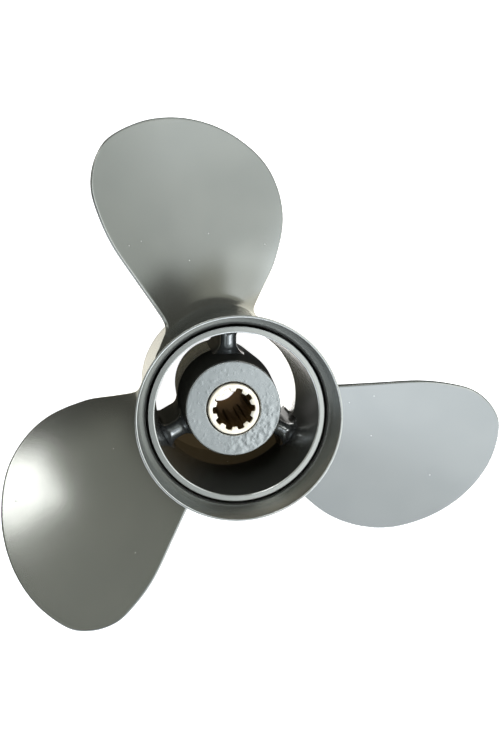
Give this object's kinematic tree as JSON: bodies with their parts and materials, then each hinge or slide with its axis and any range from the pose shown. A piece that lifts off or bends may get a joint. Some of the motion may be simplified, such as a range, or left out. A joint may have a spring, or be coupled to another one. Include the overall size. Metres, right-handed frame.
{
  "type": "ship propeller",
  "caption": "Right-handed outboard ship propeller: barrel with raked blades, exhaust through the hub, rubber bush and splined brass sleeve.",
  "frame": {"origin": "point on the shaft axis in the plane of the propeller's front end, which it stands on", "axes": "+Z along the shaft, pointing aft; the first blade points close to +Y"},
  "size_m": [0.226, 0.2237, 0.106],
  "materials": {
    "grey_paint": "satin",
    "black_rubber": "matte",
    "brass": "satin"
  },
  "bodies": {
    "root": {"barrel": "grey_paint", "flare_ring": "grey_paint", "inner_hub": "grey_paint", "rib_1": "grey_paint", "rib_2": "grey_paint", "rib_3": "grey_paint", "blade_1": "grey_paint", "blade_2": "grey_paint", "blade_3": "grey_paint", "rubber_bush": "black_rubber", "splined_sleeve": "brass"}
  },
  "joints": []
}
